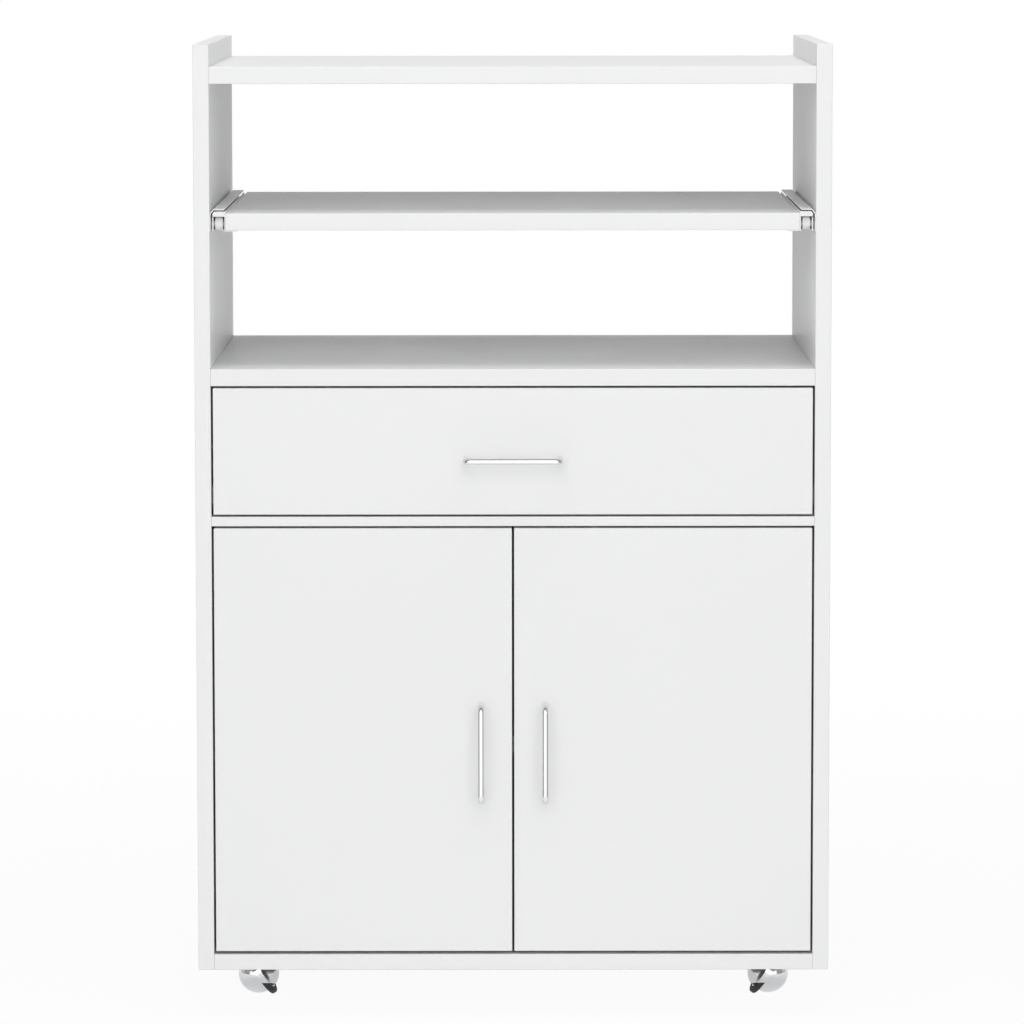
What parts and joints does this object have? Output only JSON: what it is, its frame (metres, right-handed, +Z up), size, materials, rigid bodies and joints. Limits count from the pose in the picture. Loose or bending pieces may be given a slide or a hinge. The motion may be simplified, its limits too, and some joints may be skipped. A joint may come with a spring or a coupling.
{
  "type": "microwave cart",
  "caption": "White board cabinet on ball casters with an open bay, a pull-out board over a second bay, a drawer and a two-door cupboard.",
  "frame": {"origin": "on the floor, under the middle of the whole object with its handles", "axes": "+X to the viewer's right seen from the front, +Y from the doors to the back, +Z up"},
  "size_m": [0.6, 0.428, 0.925],
  "materials": {
    "melamine_board": "white melamine foil on chipboard, satin",
    "hardboard": "thin hardboard, white lacquered face",
    "coated_slide": "white powder coated sheet steel, satin",
    "nylon": "white nylon, moulded",
    "satin_handle": "satin chromed steel wire",
    "nickel_hinge": "nickel plated pressed steel",
    "chromed_caster": "bright chromed pressed steel",
    "caster_steel": "zinc plated turned steel",
    "caster_tread": "dark grey rubber, matt"
  },
  "bodies": {
    "cabinet": {"side_panel_left": "melamine_board", "side_panel_right": "melamine_board", "top_board": "melamine_board", "fixed_shelf": "melamine_board", "divider_board": "melamine_board", "bottom_board": "melamine_board", "back_panel": "hardboard", "inner_shelf": "melamine_board", "shelf_pins": "nickel_hinge", "tray_rail_left": "coated_slide", "tray_rail_right": "coated_slide", "drawer_rail_left": "coated_slide", "drawer_rail_right": "coated_slide", "hinge_arms": "nickel_hinge", "hinge_plates": "nickel_hinge", "caster_stems": "caster_steel"},
    "tray": {"tray_board": "melamine_board", "tray_runner_left": "coated_slide", "tray_runner_right": "coated_slide"},
    "drawer": {"drawer_front": "melamine_board", "drawer_side_left": "melamine_board", "drawer_side_right": "melamine_board", "drawer_back": "melamine_board", "drawer_bottom": "hardboard", "drawer_runner_left": "coated_slide", "drawer_runner_right": "coated_slide", "drawer_handle": "satin_handle"},
    "tray_front_rollers": {"tray_front_rollers": "nylon"},
    "tray_rear_rollers": {"tray_rear_rollers": "nylon"},
    "drawer_front_rollers": {"drawer_front_rollers": "nylon"},
    "drawer_rear_rollers": {"drawer_rear_rollers": "nylon"},
    "link_left": {"hinge_links_left": "nickel_hinge"},
    "door_left": {"door_left": "melamine_board", "door_handle_left": "satin_handle", "hinge_cups_left": "nickel_hinge"},
    "link_right": {"hinge_links_right": "nickel_hinge"},
    "door_right": {"door_right": "melamine_board", "door_handle_right": "satin_handle", "hinge_cups_right": "nickel_hinge"},
    "swivel_front_left": {"caster_hood_front_left": "chromed_caster"},
    "wheel_front_left": {"caster_dish_front_left": "chromed_caster", "caster_tread_front_left": "caster_tread"},
    "swivel_front_right": {"caster_hood_front_right": "chromed_caster"},
    "wheel_front_right": {"caster_dish_front_right": "chromed_caster", "caster_tread_front_right": "caster_tread"},
    "swivel_rear_left": {"caster_hood_rear_left": "chromed_caster"},
    "wheel_rear_left": {"caster_dish_rear_left": "chromed_caster", "caster_tread_rear_left": "caster_tread"},
    "swivel_rear_right": {"caster_hood_rear_right": "chromed_caster"},
    "wheel_rear_right": {"caster_dish_rear_right": "chromed_caster", "caster_tread_rear_right": "caster_tread"}
  },
  "joints": [
    {"name": "tray_slide", "type": "slide", "parent": "cabinet", "child": "tray", "axis": [0, -1, 0], "range_m": [0, 0.26]},
    {"name": "drawer_slide", "type": "slide", "parent": "cabinet", "child": "drawer", "axis": [0, -1, 0], "range_m": [0, 0.26]},
    {"name": "tray_front_rollers_spin", "type": "hinge", "parent": "cabinet", "child": "tray_front_rollers", "pos_m": [0, -0.177, 0.75665], "axis": [1, 0, 0], "range_deg": [0, 2330]},
    {"name": "tray_rear_rollers_spin", "type": "hinge", "parent": "tray", "child": "tray_rear_rollers", "pos_m": [0, 0.1514, 0.75685], "axis": [1, 0, 0], "range_deg": [0, 2485]},
    {"name": "drawer_front_rollers_spin", "type": "hinge", "parent": "cabinet", "child": "drawer_front_rollers", "pos_m": [0, -0.16, 0.49715], "axis": [1, 0, 0], "range_deg": [0, 2330]},
    {"name": "drawer_rear_rollers_spin", "type": "hinge", "parent": "drawer", "child": "drawer_rear_rollers", "pos_m": [0, 0.166, 0.49735], "axis": [1, 0, 0], "range_deg": [0, 2485]},
    {"name": "link_left_turn", "type": "hinge", "parent": "cabinet", "child": "link_left", "pos_m": [-0.257, -0.164, 0.26], "axis": [0, 0, 1], "range_deg": [0, 60]},
    {"name": "door_left_turn", "type": "hinge", "parent": "link_left", "child": "door_left", "pos_m": [-0.2722, -0.1736, 0.26], "axis": [0, 0, -1], "range_deg": [0, 160]},
    {"name": "link_right_turn", "type": "hinge", "parent": "cabinet", "child": "link_right", "pos_m": [0.257, -0.164, 0.26], "axis": [0, 0, -1], "range_deg": [0, 60]},
    {"name": "door_right_turn", "type": "hinge", "parent": "link_right", "child": "door_right", "pos_m": [0.2722, -0.1736, 0.26], "axis": [0, 0, 1], "range_deg": [0, 160]},
    {"name": "caster_swivel_front_left", "type": "hinge", "parent": "cabinet", "child": "swivel_front_left", "pos_m": [-0.241, -0.103, 0.04], "axis": [0, 0, 1], "continuous": true},
    {"name": "caster_wheel_front_left", "type": "hinge", "parent": "swivel_front_left", "child": "wheel_front_left", "pos_m": [-0.248, -0.079, 0.02005], "axis": [0.829, 0, 0.5592], "continuous": true},
    {"name": "caster_swivel_front_right", "type": "hinge", "parent": "cabinet", "child": "swivel_front_right", "pos_m": [0.241, -0.103, 0.04], "axis": [0, 0, 1], "continuous": true},
    {"name": "caster_wheel_front_right", "type": "hinge", "parent": "swivel_front_right", "child": "wheel_front_right", "pos_m": [0.248, -0.079, 0.02005], "axis": [-0.829, 0, 0.5592], "continuous": true},
    {"name": "caster_swivel_rear_left", "type": "hinge", "parent": "cabinet", "child": "swivel_rear_left", "pos_m": [-0.241, 0.131, 0.04], "axis": [0, 0, 1], "continuous": true},
    {"name": "caster_wheel_rear_left", "type": "hinge", "parent": "swivel_rear_left", "child": "wheel_rear_left", "pos_m": [-0.248, 0.155, 0.02005], "axis": [0.829, 0, 0.5592], "continuous": true},
    {"name": "caster_swivel_rear_right", "type": "hinge", "parent": "cabinet", "child": "swivel_rear_right", "pos_m": [0.241, 0.131, 0.04], "axis": [0, 0, 1], "continuous": true},
    {"name": "caster_wheel_rear_right", "type": "hinge", "parent": "swivel_rear_right", "child": "wheel_rear_right", "pos_m": [0.248, 0.155, 0.02005], "axis": [-0.829, 0, 0.5592], "continuous": true}
  ],
  "couplings": [
    {"joint": "tray_front_rollers_spin", "follows": "tray_slide", "rad_per_m": 156.25},
    {"joint": "tray_rear_rollers_spin", "follows": "tray_slide", "rad_per_m": 166.67},
    {"joint": "drawer_front_rollers_spin", "follows": "drawer_slide", "rad_per_m": 156.25},
    {"joint": "drawer_rear_rollers_spin", "follows": "drawer_slide", "rad_per_m": 166.67},
    {"joint": "link_left_turn", "follows": "door_left_turn", "ratio": 0.375},
    {"joint": "link_right_turn", "follows": "door_right_turn", "ratio": 0.375}
  ]
}
